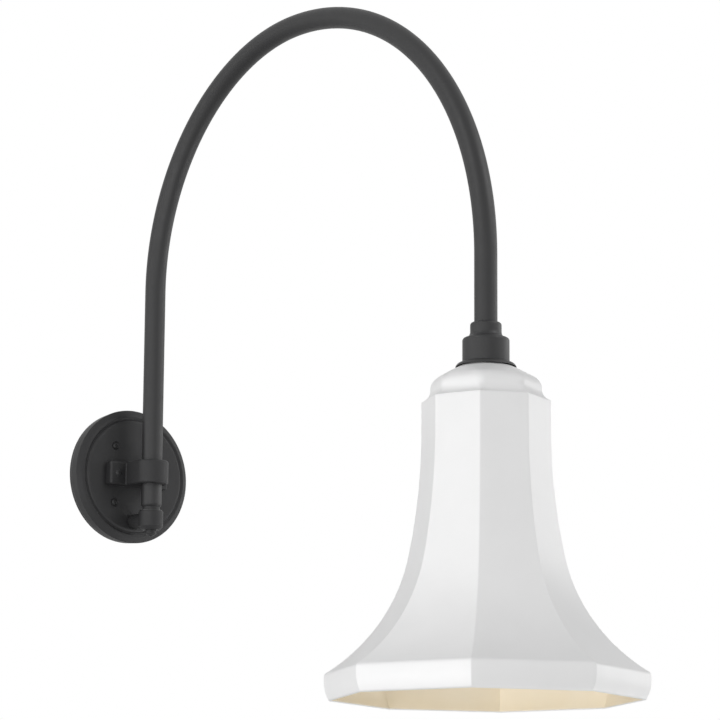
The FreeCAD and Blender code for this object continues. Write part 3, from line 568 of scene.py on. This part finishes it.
def shade_line():
    """The shade's outer line in the middle of a side, from the top hole to the lip's edge."""
    flank = shade_top - dome_drop
    shoulder = arc(dome_flank - dome_shoulder_r, flank, dome_shoulder_r, dome_shoulder_angle, 0, steps=12)
    shares = [i / crown_steps for i in range(1, crown_steps)]
    crown = [(dome_flat + (shoulder[0][0] - dome_flat) * share,
              shade_top + (shoulder[0][1] - shade_top) * share + 4 * dome_crown * share * (1 - share))
             for share in shares]
    cove_r = round_radius(body_flat - dome_flank, cove_height)
    cove_end = 180 + math.degrees(math.asin(cove_height / cove_r))
    cove = arc(dome_flank + cove_r, flank - dome_rim, cove_r, 180, cove_end, steps=10)
    body_top = flank - dome_rim - cove_height
    cove[-1] = (body_flat - body_edge_r, body_top + body_edge_r * body_edge_lift)
    top_edge = arc(body_flat - body_edge_r, body_top - body_edge_r, body_edge_r, body_edge_turn, 0, steps=4)
    straight_end = body_top - body_straight
    upper = arc(body_flat + flare_top_r, straight_end, flare_top_r, 180, 180 + flare_top_angle, steps=36)
    turn = math.radians(flare_top_angle)
    centre_r = body_flat + flare_top_r - (flare_top_r - flare_low_r) * math.cos(turn)
    centre_h = straight_end - (flare_top_r - flare_low_r) * math.sin(turn)
    lip_angle = math.degrees(math.acos((centre_r - lip_top_flat) / flare_low_r))
    lower = arc(centre_r, centre_h, flare_low_r, 180 + flare_top_angle, 180 + lip_angle, steps=40)
    lip_top = lower[-1][1]
    shoulder_round = round_radius(lip_flat - lip_top_flat, lip_shoulder)
    shoulder_angle = math.degrees(math.asin(lip_shoulder / shoulder_round))
    lip_edge = arc(lip_flat - shoulder_round, lip_top - lip_shoulder, shoulder_round, shoulder_angle, 0, steps=6)
    tuck_r = round_radius(lip_tuck, lip_round)
    tuck_angle = math.degrees(math.asin(lip_round / tuck_r))
    tuck_level = lip_top - lip_shoulder - lip_straight
    tuck = arc(lip_flat - tuck_r, tuck_level, tuck_r, 0, -tuck_angle, steps=8)
    line = [(hole_flat, shade_top), (dome_flat, shade_top)] + crown + shoulder + cove + top_edge
    return filled(line + upper + lower[1:] + lip_edge + tuck, longest_step)


def inner_line(outer):
    """The line one sheet's thickness inside another, point for point."""
    line = []
    for i, (r, h) in enumerate(outer):
        before = outer[max(i - 1, 0)]
        after = outer[min(i + 1, len(outer) - 1)]
        length = math.dist(before, after)
        line.append((r + (after[1] - before[1]) / length * sheet, h - (after[0] - before[0]) / length * sheet))
    return line


def corner_round(r, h):
    """How round the shade's upright corners are at a height: a full circle at the top hole, tighter below."""
    flank = shade_top - dome_drop
    if h > flank:
        share = (h - flank) / dome_drop
        return dome_corner_r + (r - dome_corner_r) * min(share, 1) ** 2
    share = min(max((h - flank + dome_rim + cove_height) / cove_height, 0), 1)
    return body_corner_r + (dome_corner_r - body_corner_r) * share


def octagon_tree():
    """Wraps a closed line of points round an axis with equal flat sides and rounded corners."""
    tree = new_tree("eight_sided_pressing", {
        "Sides": "Int", "Corner Steps": "Int", "Flat Steps": "Int", "Turn": "Float", "Axis Y": "Float",
        "First Inside Row": "Int", "Last Inside Row": "Int", "Outside": "Material", "Inside": "Material"})
    given = add(tree, "NodeGroupInput").outputs
    rows = add(tree, "GeometryNodeAttributeDomainSize", {"Geometry": given["Geometry"]}).outputs["Point Count"]
    steps = add(tree, "FunctionNodeIntegerMath", {0: given["Corner Steps"], 1: given["Flat Steps"]})
    columns = add(tree, "FunctionNodeIntegerMath", {0: steps, 1: given["Sides"]}, operation="MULTIPLY")
    row_count = add(tree, "FunctionNodeIntegerMath", {0: rows, 1: 1})
    column_count = add(tree, "FunctionNodeIntegerMath", {0: columns, 1: 1})
    grid = add(tree, "GeometryNodeMeshGrid", {"Vertices X": column_count, "Vertices Y": row_count})
    number = add(tree, "GeometryNodeInputIndex")
    column = add(tree, "FunctionNodeIntegerMath", {0: number, 1: row_count}, operation="DIVIDE_FLOOR")
    row = add(tree, "FunctionNodeIntegerMath", {0: number, 1: row_count}, operation="MODULO")
    row = add(tree, "FunctionNodeIntegerMath", {0: row, 1: rows}, operation="MODULO")
    line = add(tree, "ShaderNodeSeparateXYZ", {0: add(tree, "GeometryNodeSampleIndex", {
        "Geometry": given["Geometry"], "Value": add(tree, "GeometryNodeInputPosition"), "Index": row},
        data_type="FLOAT_VECTOR")})
    rounding = add(tree, "GeometryNodeSampleIndex", {
        "Geometry": given["Geometry"], "Index": row,
        "Value": add(tree, "GeometryNodeInputNamedAttribute", {"Name": "corner_round"}, data_type="FLOAT")})
    side = add(tree, "FunctionNodeIntegerMath", {0: column, 1: steps}, operation="DIVIDE_FLOOR")
    step = add(tree, "FunctionNodeIntegerMath", {0: column, 1: steps}, operation="MODULO")
    in_corner = add(tree, "ShaderNodeMath", {0: step, 1: given["Corner Steps"]}, operation="DIVIDE",
                    use_clamp=True)
    past_corner = add(tree, "ShaderNodeMath", {0: step, 1: given["Corner Steps"]}, operation="SUBTRACT")
    on_flat = add(tree, "ShaderNodeMath", {0: past_corner, 1: given["Flat Steps"]}, operation="DIVIDE",
                  use_clamp=True)
    side_angle = add(tree, "ShaderNodeMath", {0: math.tau, 1: given["Sides"]}, operation="DIVIDE")
    corner_angle = add(tree, "ShaderNodeMath", {0: side, 1: side_angle, 2: given["Turn"]},
                       operation="MULTIPLY_ADD")
    lean = add(tree, "ShaderNodeMath", {0: in_corner, 1: 0.5}, operation="SUBTRACT")
    facing = add(tree, "ShaderNodeMath", {0: lean, 1: side_angle, 2: corner_angle}, operation="MULTIPLY_ADD")
    core_flat = add(tree, "ShaderNodeMath", {0: line.outputs["X"], 1: rounding}, operation="SUBTRACT")
    half_side = add(tree, "ShaderNodeMath", {0: side_angle, 1: 0.5}, operation="MULTIPLY")
    core_r = add(tree, "ShaderNodeMath", {
        0: core_flat, 1: add(tree, "ShaderNodeMath", {0: half_side}, operation="COSINE")}, operation="DIVIDE")
    core = add(tree, "ShaderNodeVectorRotate", {
        "Vector": add(tree, "ShaderNodeCombineXYZ", {"X": core_r}), "Angle": corner_angle},
        rotation_type="Z_AXIS")
    next_core = add(tree, "ShaderNodeVectorRotate", {"Vector": core, "Angle": side_angle}, rotation_type="Z_AXIS")
    # The rows across a flat side crowd towards its corners, which keeps the shading of the flat even
    sweep = add(tree, "ShaderNodeMapRange", {"Value": on_flat}, interpolation_type="SMOOTHSTEP")
    centre = add(tree, "ShaderNodeMix", {0: sweep, 4: core, 5: next_core}, data_type="VECTOR")
    outwards = add(tree, "ShaderNodeVectorRotate", {
        "Vector": add(tree, "ShaderNodeCombineXYZ", {"X": rounding}), "Angle": facing}, rotation_type="Z_AXIS")
    spot = add(tree, "ShaderNodeVectorMath", {0: centre.outputs[1], 1: outwards}, operation="ADD")
    lift = add(tree, "ShaderNodeCombineXYZ", {"Y": given["Axis Y"], "Z": line.outputs["Z"]})
    spot = add(tree, "ShaderNodeVectorMath", {0: spot, 1: lift}, operation="ADD")
    shell = add(tree, "GeometryNodeSetPosition", {"Geometry": grid, "Position": spot})
    shell = add(tree, "GeometryNodeFlipFaces", {0: shell})
    face_row = add(tree, "FunctionNodeIntegerMath", {0: number, 1: rows}, operation="MODULO")
    from_row = add(tree, "FunctionNodeCompare", {2: face_row, 3: given["First Inside Row"]}, data_type="INT",
                   operation="GREATER_EQUAL")
    to_row = add(tree, "FunctionNodeCompare", {2: face_row, 3: given["Last Inside Row"]}, data_type="INT",
                 operation="LESS_THAN")
    inside = add(tree, "FunctionNodeBooleanMath", {0: from_row, 1: to_row})
    shell = add(tree, "GeometryNodeSetMaterial", {"Geometry": shell, "Material": given["Outside"]})
    shell = add(tree, "GeometryNodeSetMaterial", {
        "Geometry": shell, "Selection": inside, "Material": given["Inside"]})
    shell = add(tree, "GeometryNodeMergeByDistance", {"Geometry": shell, "Distance": merge_gap})
    shell = add(tree, "GeometryNodeSetShadeSmooth", {"Geometry": shell})
    plain = add(tree, "GeometryNodeRealizeInstances", {"Geometry": shell})
    add(tree, "NodeGroupOutput", {"Geometry": plain})
    return tree


def enamel(name, low_colour, high_colour, least_rough):
    """Vitreous enamel fired on steel: an even colour with a soft gloss and the faint ripple of the fired coat."""
    finish, tree, place = blank_material(name)
    clouds = add(tree, "ShaderNodeTexNoise", {"Vector": place, "Scale": 1 / (45 * mm), "Detail": 3.0})
    colour = add(tree, "ShaderNodeMix", {0: clouds, 6: linear(low_colour), 7: linear(high_colour)},
                 data_type="RGBA")
    ripple = add(tree, "ShaderNodeTexNoise", {"Vector": place, "Scale": 1 / (3.5 * mm), "Detail": 2.0})
    bump = add(tree, "ShaderNodeBump", {"Height": ripple, "Strength": 0.1, "Distance": 0.1 * mm})
    dull = add(tree, "ShaderNodeMapRange", {
        "Value": clouds, "To Min": least_rough, "To Max": least_rough + 0.08})
    shader = add(tree, "ShaderNodeBsdfPrincipled", {
        "Base Color": colour.outputs[2], "Roughness": dull, "Specular IOR Level": 0.5, "Normal": bump})
    add(tree, "ShaderNodeOutputMaterial", {"Surface": shader})
    return finish


outer = shade_line()
loop = outer + inner_line(outer)[::-1]
rounds = [corner_round(*p) for p in outer] + [corner_round(*p) - sheet for p in outer[::-1]]
outline = line_mesh([(r * mm, 0, h * mm) for r, h in loop], corner_round=[r * mm for r in rounds])
white_enamel = enamel("white_fired_enamel", "#f2f2f2", "#f8f8f8", least_rough=0.38)
cream_enamel = enamel("cream_fired_enamel", "#faeed6", "#fdf5e4", least_rough=0.45)
holder_low, holder_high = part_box("lampholder")
pressing = grown("octagonal_shade", outline, octagon_tree(), {
    "Sides": shade_sides, "Corner Steps": corner_steps, "Flat Steps": flat_steps, "Turn": shade_turn,
    "Axis Y": (holder_low.y + holder_high.y) / 2, "First Inside Row": len(outer),
    "Last Inside Row": len(loop) - 1, "Outside": white_enamel, "Inside": cream_enamel})
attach(pressing, "arm")
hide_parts("shade")
dress(foam, "shade_gasket")
dress(zinc, "shade_ring")

# Studio: a pale floor well below the light, a white surround and soft lamps, with the camera of the photograph.
# The floor is matte paper that takes the light's shadow. The seven lamps are square and soft, and a low one on
# the right reaches into the shade.
floor_level = -1.6
floor_half = 6.0
paper_glow = 0.7
white_from = 2.2
white_to = 5.0
ambient_level = 0.08
lamp_target = Vector((0, -0.4, 0.05))


def seen(tree, share):
    """A share for the rays that show the studio itself, straight or in a reflection, and nothing for its light."""
    ray = add(tree, "ShaderNodeLightPath").outputs
    shown = add(tree, "ShaderNodeMath", {0: ray["Is Camera Ray"], 1: ray["Is Glossy Ray"]}, operation="MAXIMUM")
    shown = add(tree, "ShaderNodeMath", {0: shown, 1: ray["Is Transmission Ray"]}, operation="MAXIMUM")
    return add(tree, "ShaderNodeMath", {0: shown, 1: share}, operation="MULTIPLY")


def studio_paper():
    """Matte white paper: pale grey under the light, and as white as the surround further off, to hide its edge."""
    finish, tree, place = blank_material("matte_studio_paper")
    shader = add(tree, "ShaderNodeBsdfPrincipled", {
        "Base Color": linear("#f4f4f4"), "Roughness": 0.9, "Specular IOR Level": 0.1})
    away = add(tree, "ShaderNodeVectorMath", {0: place}, operation="LENGTH").outputs["Value"]
    fade = add(tree, "ShaderNodeMapRange", {
        "Value": away, "From Min": white_from, "From Max": white_to, "To Min": paper_glow, "To Max": 1.0},
        interpolation_type="SMOOTHSTEP")
    glow = add(tree, "ShaderNodeEmission", {"Color": linear("#ffffff"), "Strength": 1.0})
    pale = add(tree, "ShaderNodeMixShader", {0: seen(tree, fade), 1: shader, 2: glow})
    add(tree, "ShaderNodeOutputMaterial", {"Surface": pale})
    return finish


floor_mesh = bpy.data.meshes.new("floor")
floor_mesh.from_pydata([(x * floor_half, y * floor_half, floor_level) for x, y in
                        ((-1, -1), (1, -1), (1, 1), (-1, 1))], [], [(0, 1, 2, 3)])
floor_mesh.materials.append(studio_paper())
floor = placed("floor", floor_mesh)

surround = bpy.data.worlds.new("white_surround")
surround.use_nodes = True
bpy.context.scene.world = surround
sky = surround.node_tree
sky.nodes.clear()
ambient = add(sky, "ShaderNodeBackground", {"Color": linear("#ffffff"), "Strength": ambient_level})
white = add(sky, "ShaderNodeBackground", {"Color": linear("#ffffff"), "Strength": 1.0})
blend = add(sky, "ShaderNodeMixShader", {0: seen(sky, 1.0), 1: ambient, 2: white})
add(sky, "ShaderNodeOutputWorld", {"Surface": blend})


def softbox(name, bearing, height, distance, size, power):
    """A square soft lamp that faces the shade, from a bearing in degrees and a height over it."""
    lamp = bpy.data.lights.new(name, "AREA")
    lamp.size = size
    lamp.energy = power
    turn = math.radians(bearing)
    spot = lamp_target + Vector((math.cos(turn) * distance, math.sin(turn) * distance, height))
    stand = placed(name, lamp)
    stand.location = spot
    stand.rotation_euler = (lamp_target - spot).to_track_quat("-Z", "Y").to_euler()


softbox("key_softbox", bearing=-134, height=-0.58, distance=2.53, size=1.2, power=18.8)
softbox("low_left_softbox", bearing=-172, height=-0.8, distance=2.47, size=1.2, power=18.8)
softbox("left_softbox", bearing=-205, height=0.23, distance=2.59, size=1.2, power=9.6)
softbox("high_left_softbox", bearing=-175, height=1.49, distance=2.13, size=1.2, power=15)
softbox("high_right_softbox", bearing=-55, height=1.49, distance=2.13, size=1.2, power=21.6)
softbox("right_softbox", bearing=-15, height=0.23, distance=2.59, size=1.2, power=12)
softbox("low_right_softbox", bearing=-25, height=-1.1, distance=1.3, size=0.6, power=7.2)

# The camera's turn, place and lens are the ones that fit the photograph's edges
yaw, pitch, roll = math.radians(39.17), math.radians(10.99), math.radians(0.38)
look = Vector((math.sin(yaw) * math.cos(pitch), math.cos(yaw) * math.cos(pitch), math.sin(pitch)))
level_right = Vector((math.cos(yaw), -math.sin(yaw), 0))
level_up = level_right.cross(look)
right = level_right * math.cos(roll) + level_up * math.sin(roll)
up = level_up * math.cos(roll) - level_right * math.sin(roll)
lens = bpy.data.cameras.new("photo_camera")
lens.lens = 148.865
lens.sensor_width = 36
camera = placed("photo_camera", lens)
camera.matrix_world = Matrix((right, up, -look)).transposed().to_4x4()
camera.location = (-1.68354, -2.43974, -0.45135)
bpy.context.scene.camera = camera
bpy.context.scene.view_settings.view_transform = "Standard"
